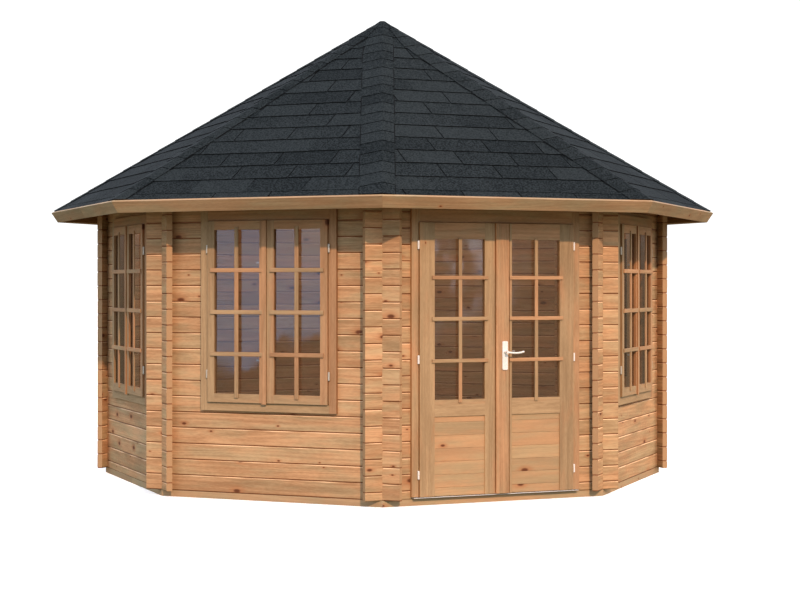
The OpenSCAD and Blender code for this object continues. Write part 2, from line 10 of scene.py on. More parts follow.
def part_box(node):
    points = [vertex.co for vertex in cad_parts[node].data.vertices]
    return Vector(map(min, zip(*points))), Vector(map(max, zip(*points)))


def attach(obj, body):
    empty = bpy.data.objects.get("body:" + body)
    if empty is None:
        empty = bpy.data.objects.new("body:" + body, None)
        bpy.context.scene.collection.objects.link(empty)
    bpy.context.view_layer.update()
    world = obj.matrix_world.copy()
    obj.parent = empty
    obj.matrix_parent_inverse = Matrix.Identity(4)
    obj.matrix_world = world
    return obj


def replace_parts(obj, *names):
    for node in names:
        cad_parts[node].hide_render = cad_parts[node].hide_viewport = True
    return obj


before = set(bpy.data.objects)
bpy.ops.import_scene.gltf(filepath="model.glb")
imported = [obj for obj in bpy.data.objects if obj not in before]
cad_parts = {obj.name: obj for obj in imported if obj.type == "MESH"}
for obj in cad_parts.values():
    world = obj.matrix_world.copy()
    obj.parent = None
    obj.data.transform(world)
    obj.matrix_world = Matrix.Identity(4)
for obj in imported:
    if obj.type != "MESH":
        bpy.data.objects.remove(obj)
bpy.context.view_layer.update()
rng = random.Random(8)

# Sizes of the frame, in metres and radians
SIDES = 8
TURN = math.tau / SIDES
HALF_TURN = TURN / 2
FRONT, FRONT_RIGHT, RIGHT, BACK_RIGHT, BACK, BACK_LEFT, LEFT, FRONT_LEFT = (
    i * TURN - math.pi / 2 for i in range(SIDES)
)
FACE_R = 2.1
LOG_HIGH = 0.114
BASE_HIGH = 0.045
OPENING_TOP = 2.04
WINDOW_CUT_LOW = 0.66
PITCH = math.radians(32.16)
UNDER_APEX = 3.6746
BOARD_THICK = 0.019
FASCIA_BACK_S = 2.9297
HIP_SLOPE = math.cos(PITCH) * math.tan(HALF_TURN)
HIP_LEAN = math.atan(HIP_SLOPE)

# Linear colours
PALE_LOG, DEEP_LOG = (0.555, 0.366, 0.206, 1), (0.305, 0.186, 0.095, 1)
PALE_JOINERY, DEEP_JOINERY = (0.445, 0.288, 0.162, 1), (0.285, 0.176, 0.094, 1)
PALE_FASCIA, DEEP_FASCIA = (0.390, 0.281, 0.168, 1), (0.26, 0.177, 0.099, 1)
PALE_BOARD, DEEP_BOARD = (0.48, 0.29, 0.14, 1), (0.31, 0.16, 0.068, 1)
PALE_PANEL, DEEP_PANEL = (0.45, 0.292, 0.160, 1), (0.34, 0.226, 0.125, 1)
PALE_BASE, DEEP_BASE = (0.42, 0.304, 0.180, 1), (0.325, 0.224, 0.130, 1)
KNOT_DARK = (0.10, 0.028, 0.010, 1)
KNOT_HALO = (0.36, 0.145, 0.058, 1)
# Painted shade along the log joints and beside the door's cover strip
PAINTED_JOINT_SHADE = (0.19, 0.066, 0.022, 1)
# Painted highlight on the top of each log
JOINT_HIGHLIGHT_COLOUR = (0.78, 0.55, 0.33, 1)
ROSY, OLIVE = (1.05, 0.958, 0.91, 1), (0.905, 0.995, 1.0, 1)
SASH_EDGE_SHADE, LEAF_EDGE_LIGHT = (0.78, 0.67, 0.56, 1), (1.5, 1.22, 0.95, 1)    # times the wood's own colour: painted shade on window side faces, painted light on door side faces


# Shader building

class Graph:
    """Adds and links the nodes of one tree."""

    def __init__(self, tree):
        self.tree = tree

    def put(self, socket, value):
        if isinstance(value, bpy.types.NodeSocket):
            self.tree.links.new(value, socket)
        else:
            socket.default_value = value

    def add(self, kind, values=None, **settings):
        node = self.tree.nodes.new(kind)
        for name, value in settings.items():
            setattr(node, name, value)
        for key, value in (values or {}).items():
            self.put(node.inputs[key], value)
        return node

    def math(self, operation, *values):
        return self.add("ShaderNodeMath", dict(enumerate(values)), operation=operation).outputs[0]

    def vector(self, operation, *values):
        node = self.add("ShaderNodeVectorMath", dict(enumerate(values)), operation=operation)
        return node.outputs["Value" if operation in ("LENGTH", "DOT_PRODUCT") else "Vector"]

    def combine(self, *values):
        return self.add("ShaderNodeCombineXYZ", dict(enumerate(values))).outputs[0]

    def split(self, value):
        return self.add("ShaderNodeSeparateXYZ", {0: value}).outputs[:]

    def scaled(self, value, factors):
        return self.vector("MULTIPLY", value, factors)

    def noise(self, position, detail=2.0):
        values = {"Vector": position, "Scale": 1.0, "Detail": detail}
        return self.add("ShaderNodeTexNoise", values).outputs["Fac"]

    def ramp(self, value, low, high, to_low=0.0, to_high=1.0):
        values = {"Value": value, "From Min": low, "From Max": high, "To Min": to_low, "To Max": to_high}
        return self.add("ShaderNodeMapRange", values, interpolation_type="SMOOTHSTEP").outputs[0]

    def mix(self, factor, first, second, blend="MIX"):
        node = self.add("ShaderNodeMix", data_type="RGBA", blend_type=blend)
        for index, value in ((0, factor), (6, first), (7, second)):
            self.put(node.inputs[index], value)
        return node.outputs[2]

    def choose(self, factor, first, second):
        """Vector that goes from first to second."""
        node = self.add("ShaderNodeMix", data_type="VECTOR")
        for index, value in ((0, factor), (4, first), (5, second)):
            self.put(node.inputs[index], value)
        return node.outputs[1]

    def white(self, *values):
        """Three random numbers that belong to the given ones."""
        position = self.combine(*values)
        return self.add("ShaderNodeTexWhiteNoise", {"Vector": position}, noise_dimensions="3D").outputs["Color"]

    def attribute(self, name, output="Vector"):
        return self.add("ShaderNodeAttribute", attribute_name=name).outputs[output]

    def bump(self, height, distance, strength=1.0):
        return self.add("ShaderNodeBump", {"Height": height, "Distance": distance, "Strength": strength}).outputs[0]


def new_material(name, **values):
    """A material with one Principled shader, and the graph to add to."""
    material = bpy.data.materials.new(name)
    material.use_nodes = True
    graph = Graph(material.node_tree)
    material.node_tree.nodes.clear()
    shader = graph.add("ShaderNodeBsdfPrincipled")
    for key, value in values.items():
        shader.inputs[key.replace("_", " ")].default_value = value
    graph.add("ShaderNodeOutputMaterial", {"Surface": shader.outputs[0]})
    return material, graph, shader


def dress(material, *nodes):
    """Gives CAD nodes a material."""
    for name in nodes:
        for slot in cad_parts[name].material_slots:
            slot.material = material


# Wood

KNOT_CELL = (0.44, 0.16)    # along and across the grain
KNOT_R = (0.004, 0.016)
KNOT_LONG = 0.5             # a knot's distances along the grain count this much
CORE_FADE, HALO_FADE = (1.3, 0.5), (3.2, 0.8)       # in radii of the knot, from none to full
CORE_SHARE, HALO_SHARE = 0.93, 0.55
SEED_SHIFT = (31.0, 17.0, 23.0)
# Noises of the wood, in waves a metre along, through and across the grain
RING_DRIFT, STREAKS, CLOUDS = (0.3, 3.0, 6.5), (1.6, 8.0, 44.0), (2.2, 4.0, 9.0)
FIBRES, FLECKS, BLUSH = (14.0, 300.0, 420.0), (26.0, 90.0, 150.0), (2.8, 5.0, 14.0)
RING_TURNS, KNOT_TURNS = 110.0, 3.0
DEPTH_START, DEPTH_FADE = -0.65, (0.05, 0.95)
OLIVE_FADE = (0.34, 0.68)
TONE_SPREAD, TONE_LEAST = 0.16, 0.94
WOOD_ROUGH, FIBRE_ROUGH = 0.52, 0.2
WOOD_BUMP, WOOD_BUMP_STRENGTH = 0.0012, 0.7
BOARD_TINT = 0.12
JOINERY_KNOTS, JOINERY_TINT = 0.06, 0.6
RAIL_ZONE, STILE_ZONE = 0.35, 0.12      # rails and stiles closer than this share a seed
SHADOW_LINE_DEEP = -0.03         # the painted shadow line beside the cover strip stays outside this depth from the outer face of the logs
MATT = {"Specular_IOR_Level": 0.25}


def make_wood_group():
    """Softwood with its grain along X, in metres: rings, streaks, clouds, fibres, flecks, a shift of hue and knots.

    Seed is three numbers a board: its shade, its hue and its tone.
    """
    tree = bpy.data.node_groups.new("softwood", "ShaderNodeTree")
    kinds = {
        "Grain": "Vector", "Seed": "Vector", "Pale": "Color", "Deep": "Color", "Knots": "Float", "Tint": "Float",
    }
    for name, kind in kinds.items():
        tree.interface.new_socket(name, in_out="INPUT", socket_type="NodeSocket" + kind)
    for name, kind in {"Colour": "Color", "Height": "Float", "Roughness": "Float"}.items():
        tree.interface.new_socket(name, in_out="OUTPUT", socket_type="NodeSocket" + kind)
    g = Graph(tree)
    given = g.add("NodeGroupInput").outputs
    shade, hue, tone = g.split(given["Seed"])
    grain = g.vector("ADD", given["Grain"], g.scaled(given["Seed"], SEED_SHIFT))
    x, y, z = g.split(grain)

    cell = g.combine(g.math("DIVIDE", x, KNOT_CELL[0]), g.math("DIVIDE", z, KNOT_CELL[1]), 0.0)
    knots = g.add("ShaderNodeTexVoronoi", {"Vector": cell, "Scale": 1.0}, voronoi_dimensions="2D")
    away = g.vector("SUBTRACT", cell, knots.outputs["Position"])
    distance = g.vector("LENGTH", g.scaled(away, (KNOT_LONG * KNOT_CELL[0], KNOT_CELL[1], 0.0)))
    size, chance, _ = g.split(knots.outputs["Color"])
    radius = g.ramp(g.math("POWER", size, 1.5), 0.0, 1.0, *KNOT_R)
    ratio = g.math("DIVIDE", distance, radius)
    there = g.math("LESS_THAN", chance, given["Knots"])
    core = g.math("MULTIPLY", there, g.ramp(ratio, *CORE_FADE))
    halo = g.math("MULTIPLY", there, g.ramp(ratio, *HALO_FADE))

    drift = g.noise(g.scaled(grain, RING_DRIFT), 1.0)
    turns = g.math("ADD", g.math("MULTIPLY", drift, RING_TURNS), g.math("MULTIPLY", halo, KNOT_TURNS))
    rings = g.math("SINE", turns)
    streaks = g.noise(g.scaled(grain, STREAKS), 3.0)
    clouds = g.noise(g.scaled(grain, CLOUDS), 2.0)
    fibres = g.noise(g.scaled(grain, FIBRES), 2.0)
    flecks = g.noise(g.scaled(grain, FLECKS), 2.0)
    blush = g.noise(g.scaled(grain, BLUSH), 4.0)

    depth = DEPTH_START
    shares = ((rings, 0.08), (streaks, 0.72), (clouds, 0.70), (fibres, 0.20), (flecks, 0.55), (shade, 0.20))
    for part, share in shares:
        depth = g.math("MULTIPLY_ADD", part, share, depth)
    depth = g.ramp(depth, *DEPTH_FADE)
    colour = g.mix(depth, given["Pale"], given["Deep"])
    own_hue = g.math("MULTIPLY", g.math("SUBTRACT", hue, 0.5), given["Tint"])
    olive = g.ramp(g.math("ADD", own_hue, blush), *OLIVE_FADE)
    colour = g.mix(1.0, colour, g.mix(olive, ROSY, OLIVE), "MULTIPLY")
    bright = g.math("MULTIPLY_ADD", tone, TONE_SPREAD, TONE_LEAST)
    colour = g.mix(1.0, colour, g.combine(bright, bright, bright), "MULTIPLY")
    colour = g.mix(g.math("MULTIPLY", halo, HALO_SHARE), colour, KNOT_HALO)
    colour = g.mix(g.math("MULTIPLY", core, CORE_SHARE), colour, KNOT_DARK)

    height = g.math("MULTIPLY_ADD", rings, 0.18, g.math("MULTIPLY", fibres, 0.7))
    height = g.math("MULTIPLY_ADD", core, 0.25, height)
    roughness = g.math("MULTIPLY_ADD", fibres, FIBRE_ROUGH, WOOD_ROUGH)
    g.add("NodeGroupOutput", {"Colour": colour, "Height": height, "Roughness": roughness})
    return tree


SOFTWOOD = make_wood_group()


def finish_wood(graph, shader, grain, seed, pale, deep, knots, tint=BOARD_TINT, joint_shade=None):
    """Joins the softwood to a shader.

    Knots is the share of places that have one, tint how far boards differ in hue; the last argument paints shade along
    their joints.
    """
    values = {"Grain": grain, "Seed": seed, "Pale": pale, "Deep": deep, "Knots": knots, "Tint": tint}
    wood = graph.add("ShaderNodeGroup", node_tree=SOFTWOOD)
    for key, value in values.items():
        graph.put(wood.inputs[key], value)
    colour = wood.outputs["Colour"]
    if joint_shade is not None:
        colour = graph.mix(joint_shade, colour, PAINTED_JOINT_SHADE)
    graph.put(shader.inputs["Base Color"], colour)
    graph.put(shader.inputs["Roughness"], wood.outputs["Roughness"])
    graph.put(shader.inputs["Normal"], graph.bump(wood.outputs["Height"], WOOD_BUMP, WOOD_BUMP_STRENGTH))


def wall_position(graph, angle):
    """Object position in a wall's own frame: X along the wall, Y inwards from its outer face."""
    values = {"Rotation": (0, 0, -(angle - FRONT)), "Location": (0, FACE_R, 0)}
    mapping = graph.add("ShaderNodeMapping", values)
    graph.put(mapping.inputs["Vector"], graph.add("ShaderNodeTexCoord").outputs["Object"])
    return mapping.outputs[0]


ALONG_FADE = (0.85, 0.95)


def facing_along(graph, angle):
    """One on faces that look along the wall, such as the ends of logs and the edges of leaves."""
    along = (-math.sin(angle), math.cos(angle), 0)
    normal = graph.add("ShaderNodeTexCoord").outputs["Normal"]
    return graph.ramp(graph.math("ABSOLUTE", graph.vector("DOT_PRODUCT", normal, along)), *ALONG_FADE)


def between(graph, value, low, high):
    """One where the value lies between two bounds."""
    return graph.math("COMPARE", value, (low + high) / 2, (high - low) / 2)


LOG_KNOTS = 0.75
BESIDE_SEED, ANGLE_SEED = 5.0, 0.37
FOOT_SHADE = (0.095, 0.045, 0.0, 0.9)      # painted shade at a log's foot along the joint, by height in logs: fades from, full at, least, most
HIGHLIGHT_RISE, HIGHLIGHT_PATCHES = (0.940, 0.955), (0.38, 0.60)     # painted highlight along the lit top of a log under a joint, and the patches where it shows
HIGHLIGHT_PATCH_SCALE = (3.0, 3.0, 20.0)
PITH_UP, PITH_DEEP = 0.3, 0.06      # in logs and in metres
END_RINGS, END_RING_SHARE, END_DEPTH = 1400.0, 0.22, 0.62


def log_material(name, angle, half_first, cut_low):
    """Logs of one wall, each with its own grain and tone, their ends showing rings, with painted shade along the joints
    and a painted highlight under each joint.
    """
    material, g, shader = new_material(name, **MATT)
    position = wall_position(g, angle)
    x, y, z = g.split(position)
    first_joint = BASE_HIGH + (LOG_HIGH / 2 if half_first else 0)
    courses = g.math("DIVIDE", g.math("SUBTRACT", z, first_joint), LOG_HIGH)
    beside = g.math("MULTIPLY_ADD", g.math("SIGN", x), between(g, z, cut_low, OPENING_TOP), BESIDE_SEED)
    seed = g.white(g.math("FLOOR", courses), beside, round(math.degrees(angle)) * ANGLE_SEED)
    up = g.math("FRACT", courses)
    # Painted shade at the foot of each log, along the joint below it
    joint_shade = g.ramp(up, *FOOT_SHADE)
    finish_wood(g, shader, position, seed, PALE_LOG, DEEP_LOG, LOG_KNOTS, joint_shade=joint_shade)
    # Painted highlight on the top of each log, in patches
    highlight_patchy = g.noise(g.scaled(position, HIGHLIGHT_PATCH_SCALE), 1.0)
    painted_highlight = g.math("MULTIPLY", g.ramp(up, *HIGHLIGHT_RISE), g.ramp(highlight_patchy, *HIGHLIGHT_PATCHES))
    base = g.mix(painted_highlight, shader.inputs["Base Color"].links[0].from_socket, JOINT_HIGHLIGHT_COLOUR)

    # Ends of the logs
    pith = g.math("SUBTRACT", up, PITH_UP)
    rise = g.math("MULTIPLY", pith, LOG_HIGH)
    depth = g.math("SUBTRACT", y, PITH_DEEP)
    ring_r = g.vector("LENGTH", g.combine(depth, rise, 0.0))
    rings = g.math("SINE", g.math("MULTIPLY", ring_r, END_RINGS))
    end_depth = g.math("MULTIPLY_ADD", rings, END_RING_SHARE, END_DEPTH)
    end_colour = g.mix(joint_shade, g.mix(end_depth, PALE_LOG, DEEP_LOG), PAINTED_JOINT_SHADE)
    g.put(shader.inputs["Base Color"], g.mix(facing_along(g, angle), base, end_colour))
    return material


def joinery_material(name, angle, uprights, edge=SASH_EDGE_SHADE, hue=None, shadow_line=None):
    """Frame or leaf on a wall. Uprights are the spans along the wall that hold stiles, where the grain is vertical.

    Hue is the stiles' own place between rosy and olive; the last argument is the span of a painted shadow line.
    """
    material, g, shader = new_material(name, **MATT)
    position = wall_position(g, angle)
    x, y, z = g.split(position)
    upright, member = 0.0, g.math("FLOOR", g.math("DIVIDE", z, RAIL_ZONE))
    for index, (low, high) in enumerate(uprights):
        inside = between(g, x, low, high)
        upright = g.math("ADD", upright, inside)
        member = g.math("MULTIPLY_ADD", inside, 40.0 + index, member)
    stile = g.combine(upright, g.math("FLOOR", g.math("DIVIDE", x, STILE_ZONE)), 9.0)
    seed = g.white(*g.split(g.choose(upright, g.combine(member, 0.0, 0.0), stile)))
    if hue is not None:
        shade, _, tone = g.split(seed)
        seed = g.choose(upright, seed, g.combine(shade, hue, tone))
    grain = g.choose(upright, position, g.combine(z, y, x))
    finish_wood(g, shader, grain, seed, PALE_JOINERY, DEEP_JOINERY, JOINERY_KNOTS, JOINERY_TINT)
    base = shader.inputs["Base Color"].links[0].from_socket
    # Faces that look along the wall: painted shade on windows, painted light on doors
    edges = g.mix(1.0, base, edge, "MULTIPLY")
    colour = g.mix(facing_along(g, angle), base, edges)
    # Painted shadow line beside the cover strip
    if shadow_line is not None:
        outside = g.math("LESS_THAN", y, SHADOW_LINE_DEEP)
        colour = g.mix(g.math("MULTIPLY", between(g, x, *shadow_line), outside), colour, PAINTED_JOINT_SHADE)
    g.put(shader.inputs["Base Color"], colour)
    return material


def ring_position(graph, start):
    """Object position turned into its sector, X outwards and Y round the building, and that sector's number."""
    position = graph.add("ShaderNodeTexCoord").outputs["Object"]
    x, y, _ = graph.split(position)
    turned = graph.math("SUBTRACT", graph.math("ARCTAN2", y, x), start)
    sector = graph.math("ROUND", graph.math("DIVIDE", turned, TURN))
    back = graph.math("MULTIPLY_ADD", sector, -TURN, -start)
    rotate = graph.add("ShaderNodeVectorRotate", {"Vector": position, "Angle": back}, rotation_type="Z_AXIS")
    return rotate.outputs[0], sector


def ring_wood(name, pale, deep, knots, start=0.0, radial=False):
    """Timbers round the building, with the grain round it or, for rafters, up the slope."""
    material, g, shader = new_material(name, **MATT)
    position, sector = ring_position(g, start)
    x, y, z = g.split(position)
    if radial:
        slope = math.atan(math.tan(PITCH) * math.cos(HALF_TURN))
        along = g.vector("DOT_PRODUCT", position, (math.cos(slope), 0, -math.sin(slope)))
        across = g.vector("DOT_PRODUCT", position, (math.sin(slope), 0, math.cos(slope)))
        grain = g.combine(along, y, across)
    else:
        grain = g.combine(y, x, z)
    finish_wood(g, shader, grain, g.white(sector, 3.0, start), pale, deep, knots)
    return material


def piece_wood(name, pale, deep, knots, tint=BOARD_TINT):
    """Wood of a piece whose mesh carries its own grain positions and seeds."""
    material, g, shader = new_material(name, **MATT)
    finish_wood(g, shader, g.attribute("grain"), g.attribute("seed"), pale, deep, knots, tint)
    return material


# Mesh building

def new_piece(name, mesh, materials, body):
    """Makes a piece from a bmesh, riding on a body and given its materials."""
    bmesh.ops.recalc_face_normals(mesh, faces=mesh.faces)
    data = bpy.data.meshes.new(name)
    mesh.to_mesh(data)
    mesh.free()
    for material in materials:
        data.materials.append(material)
    piece = bpy.data.objects.new(name, data)
    bpy.context.collection.objects.link(piece)
    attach(piece, body)
    return piece


def new_timbers():
    """An empty mesh with the layers that piece_wood reads."""
    mesh = bmesh.new()
    mesh.verts.layers.float_vector.new("grain")
    mesh.verts.layers.float_vector.new("seed")
    return mesh


def add_prism(mesh, ends, grains=None):
    """A closed solid between two rings of points, with grain positions for a timber."""
    rings = [[mesh.verts.new(point) for point in end] for end in ends]
    faces = [mesh.faces.new(ring) for ring in rings]
    count = len(rings[0])
    for i in range(count):
        j = (i + 1) % count
        faces.append(mesh.faces.new((rings[0][i], rings[0][j], rings[1][j], rings[1][i])))
    if grains:
        seed = Vector((rng.random(), rng.random(), rng.random()))
        grain_layer = mesh.verts.layers.float_vector["grain"]
        seed_layer = mesh.verts.layers.float_vector["seed"]
        for ring, places in zip(rings, grains):
            for vertex, place in zip(ring, places):
                vertex[grain_layer] = place
                vertex[seed_layer] = seed
    return faces


def add_bar(mesh, place, length, wide, thick, chamfer):
    """A bar along X of its place, its back at Y = 0 and its chamfered face towards -Y."""
    half = wide / 2
    section = [
        (0, -half), (chamfer - thick, -half), (-thick, chamfer - half),
        (-thick, half - chamfer), (chamfer - thick, half), (0, half),
    ]
    grains = [[Vector((x, y, z)) for y, z in section] for x in (-length / 2, length / 2)]
    add_prism(mesh, [[place @ point for point in ring] for ring in grains], grains)


def wall_frame(angle):
    """Matrix of a wall's frame: X along the wall, Y inwards from the outer log face, Z up."""
    return Matrix.Rotation(angle - FRONT, 4, "Z") @ Matrix.Translation((0, -FACE_R, 0))


UPRIGHT = Matrix(((0, 0, -1, 0), (0, 1, 0, 0), (1, 0, 0, 0), (0, 0, 0, 1)))
INWARDS = Matrix.Rotation(math.pi, 4, "Z")


def roof_point(angle, u, s, n):
    """Point of a roof face: u along the eave, s down the slope from the apex, n off the boards' underside."""
    out = s * math.cos(PITCH) + n * math.sin(PITCH)
    z = UNDER_APEX - s * math.sin(PITCH) + n * math.cos(PITCH)
    return Vector((out * math.cos(angle) - u * math.sin(angle), out * math.sin(angle) + u * math.cos(angle), z))


def clipped(points, normal, limit):
    """The part of a convex outline whose points stay within a line."""
    kept = []
    for a, b in zip(points, points[1:] + points[:1]):
        over_a, over_b = a.dot(normal) - limit, b.dot(normal) - limit
        if over_a <= 0:
            kept.append(a)
        if over_a * over_b < 0:
            kept.append(a.lerp(b, over_a / (over_a - over_b)))
    return kept


# Woods of the frame

WALLS = {
    "front": (FRONT, True, 0.0), "front_right": (FRONT_RIGHT, False, WINDOW_CUT_LOW),
    "right": (RIGHT, True, WINDOW_CUT_LOW), "back_right": (BACK_RIGHT, False, OPENING_TOP),
    "back": (BACK, True, OPENING_TOP), "back_left": (BACK_LEFT, False, OPENING_TOP),
    "left": (LEFT, True, WINDOW_CUT_LOW), "front_left": (FRONT_LEFT, False, WINDOW_CUT_LOW),
}
for wall, (angle, half_first, cut_low) in WALLS.items():
    dress(log_material(f"{wall}_logs", angle, half_first, cut_low), f"{wall}_wall")

WINDOWS = {"front_left": FRONT_LEFT, "left": LEFT, "front_right": FRONT_RIGHT, "right": RIGHT}
SASH_HALF = 0.475
PAST = 1.0                  # past every frame and leaf
PANE = ((0.057, 0.759), (0.416, 1.929))    # glass of the right sash, along the wall and up
for wall, angle in WINDOWS.items():
    jambs = [(-PAST, -SASH_HALF), (SASH_HALF, PAST)]
    stiles = [(-SASH_HALF, -PANE[1][0]), (-PANE[0][0], PANE[0][0]), (PANE[1][0], SASH_HALF)]
    dress(joinery_material(f"{wall}_frame_wood", angle, jambs), f"{wall}_window_frame")
    dress(joinery_material(f"{wall}_sash_wood", angle, stiles), f"{wall}_window_sashes")

LEAF_PANES = {"left": (-0.492, -0.104), "right": (0.108, 0.492)}
DOOR_PANE_Z = (0.733, 1.857)
JAMB_IN = 0.597
STRIP_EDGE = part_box("door_cover_strip")[1].x
# Painted shadow line along the right of the door's cover strip
STRIP_SHADOW_LINE = (STRIP_EDGE, STRIP_EDGE + 0.008)
jambs = [(-PAST, -JAMB_IN), (JAMB_IN, PAST)]
dress(joinery_material("door_frame_wood", FRONT, jambs, LEAF_EDGE_LIGHT, hue=0.5), "door_frame")
for side, (low, high) in LEAF_PANES.items():
    stiles = [(-PAST, low), (high, PAST)]
    shadow_line = STRIP_SHADOW_LINE if side == "right" else None
    wood = joinery_material(f"{side}_leaf_wood", FRONT, stiles, LEAF_EDGE_LIGHT, hue=0.75, shadow_line=shadow_line)
    dress(wood, f"{side}_door_leaf")
dress(joinery_material("cover_strip_wood", FRONT, [(-PAST, PAST)], LEAF_EDGE_LIGHT, hue=0.4), "door_cover_strip")
dress(ring_wood("foundation_wood", PALE_BASE, DEEP_BASE, knots=0.2), "foundation_beams")
dress(ring_wood("eave_log_wood", PALE_LOG, DEEP_LOG, knots=0.4), "eave_logs")
dress(ring_wood("fascia_wood", PALE_FASCIA, DEEP_FASCIA, knots=0.35), "fascia_boards")
dress(ring_wood("rafter_wood", PALE_BOARD, DEEP_BOARD, knots=0.5, start=HALF_TURN, radial=True), "hip_rafters")
dress(joinery_material("joist_wood", FRONT, []), "floor_joists")
dress(joinery_material("hub_wood", FRONT, [(-PAST, PAST)]), "roof_hub")

JOINERY = piece_wood("bar_wood", PALE_JOINERY, DEEP_JOINERY, JOINERY_KNOTS, JOINERY_TINT)
BOARDING = piece_wood("board_wood", PALE_BOARD, DEEP_BOARD, knots=0.6)
PANELLING = piece_wood("panel_wood", PALE_PANEL, DEEP_PANEL, knots=0.6)


# Glass and metal

PANE_TINT, PANE_IOR = (0.03, 0.024, 0.022, 1), 2.6
SMEAR_SCALE, SMEAR_ROUGH = (5.0, 5.0, 3.0), (0.3, 0.8, 0.01, 0.06)
BRUSHED_UP, BRUSHED_ALONG = (300.0, 300.0, 40.0), (20.0, 400.0, 400.0)
BRUSHED_DULL, BRUSHED_ROUGH = 0.82, 0.12


def glass_material(name, alpha):
    """Panes with a faint sheen of dust."""
    material, g, shader = new_material(name, Alpha=alpha, IOR=PANE_IOR, Base_Color=PANE_TINT)
    smear = g.noise(g.scaled(g.add("ShaderNodeTexCoord").outputs["Object"], SMEAR_SCALE), 3.0)
    g.put(shader.inputs["Roughness"], g.ramp(smear, *SMEAR_ROUGH))
    return material


def metal_material(name, colour, metallic, roughness, brushed):
    """Plated metal with a faint brushed grain."""
    material, g, shader = new_material(name, Metallic=metallic)
    position = g.add("ShaderNodeTexCoord").outputs["Object"]
    streaks = g.noise(g.scaled(position, brushed), 2.0)
    dull = tuple(BRUSHED_DULL * part for part in colour[:3]) + (1,)
    g.put(shader.inputs["Base Color"], g.mix(streaks, colour, dull))
    g.put(shader.inputs["Roughness"], g.ramp(streaks, 0.2, 0.8, roughness, roughness + BRUSHED_ROUGH))
    g.put(shader.inputs["Normal"], g.bump(streaks, 0.0002, 0.3))
    return material


CHROME = metal_material("bright_plating", (0.93, 0.93, 0.92, 1), metallic=0.2, roughness=0.22, brushed=BRUSHED_UP)
ZINC = metal_material("dull_zinc", (0.60, 0.57, 0.50, 1), metallic=0.4, roughness=0.35, brushed=BRUSHED_UP)
STEEL = metal_material("grey_steel", (0.62, 0.62, 0.61, 1), metallic=1.0, roughness=0.3, brushed=BRUSHED_ALONG)
# The right window gets a nearly opaque dark copy of the glass: painted shade
CLEAR_PANE, SHADED_PANE = glass_material("clear_pane", alpha=0.3), glass_material("shaded_pane", alpha=0.97)
dress(CLEAR_PANE, "front_left_window_glass", "left_window_glass", "front_right_window_glass")
dress(CLEAR_PANE, "left_door_glass", "right_door_glass")
dress(SHADED_PANE, "right_window_glass")
dress(ZINC, "window_hinges")
dress(CHROME, "door_frame_hinges", "left_door_hinges", "right_door_hinges")
dress(CHROME, "door_lock_plates", "door_lever")
dress(STEEL, "door_threshold")


# Shingles

EXPOSURE = 0.196
TAB_WIDE = 0.434
FIRST_COURSE = 0.0763       # what shows of the lowest course
HEAD_LAP = 0.03
STAGGER = 0.12              # most that a course is off its half-tab place, in tabs
SLOT_WIDE = 0.008
CLOSED_SLOTS = 0.3          # share of the slots that the next tab closes
# Painted shade: a dark sheet under the tabs that shows in the slots
SLOT_SHADE_SHEET = (0.0192, 0.0195)
TAB_UNDER = (0.0196, 0.0213)    # height over the boards' underside at the upper and the lower edge
TAB_TOP = (0.0205, 0.0270)
HIP_INSET = 0.002
TAB_LIFT, TAB_JITTER = 0.0004, 0.003
NEAREST_APEX = 0.004
GRIT, SPECKLE, PATCHES = (260.0,) * 3, (84.0,) * 3, (2.3,) * 3
SPECKLE_FADE, GRIT_FADE = (0.43, 0.58), (0.4, 0.8)
SPECKLE_SHARE, TONE_SHARE, GRIT_SHARE, PATCH_SHARE, LESS_LIGHT = 1.0, 0.62, 0.25, 0.5, 0.58
SHINGLE_DARK, SHINGLE_PALE = (0.0022, 0.0042, 0.0052, 1), (0.0185, 0.0255, 0.0290, 1)
SHINGLE_CUT_AND_SHADE = (0.0025, 0.0026, 0.003, 1)
SHINGLE_ROUGH = (0.2, 0.8, 0.8, 0.95)


def shingle_material():
    """Charcoal granules on bitumen: a tone for each tab, speckles, worn patches, and dark cut edges and sheets that
    partly paint shade.
    """
    material, g, shader = new_material("charcoal_shingle", Specular_IOR_Level=0.10)
    position = g.add("ShaderNodeTexCoord").outputs["Object"]
    grit = g.noise(g.scaled(position, GRIT), 2.0)
    speckle = g.noise(g.scaled(position, SPECKLE), 3.0)
    patches = g.noise(g.scaled(position, PATCHES), 3.0)
    own = g.math("MULTIPLY", g.attribute("tone", "Fac"), TONE_SHARE)
    light = g.math("MULTIPLY_ADD", g.ramp(speckle, *SPECKLE_FADE), SPECKLE_SHARE, own)
    light = g.math("MULTIPLY_ADD", g.ramp(grit, *GRIT_FADE), GRIT_SHARE, light)
    light = g.math("MULTIPLY_ADD", patches, PATCH_SHARE, g.math("SUBTRACT", light, LESS_LIGHT))
    colour = g.mix(light, SHINGLE_DARK, SHINGLE_PALE)
    colour = g.mix(g.attribute("edge", "Fac"), colour, SHINGLE_CUT_AND_SHADE)
    g.put(shader.inputs["Base Color"], colour)
    g.put(shader.inputs["Roughness"], g.ramp(grit, *SHINGLE_ROUGH))
    g.put(shader.inputs["Normal"], g.bump(g.math("ADD", grit, speckle), 0.0015, 0.6))
    return material


def new_shingles():
    """An empty mesh with the layers that the shingle material reads."""
    mesh = bmesh.new()
    mesh.faces.layers.float.new("tone")
    mesh.faces.layers.float.new("edge")
    return mesh


def mark_shingle(mesh, faces, dark, tone=None):
    """Gives a shingle's faces one tone, and the listed ones the dark colour of cut bitumen, partly painted shade."""
    tone = rng.random() if tone is None else tone
    for face in faces:
        face[mesh.faces.layers.float["tone"]] = tone
        face[mesh.faces.layers.float["edge"]] = float(face in dark)


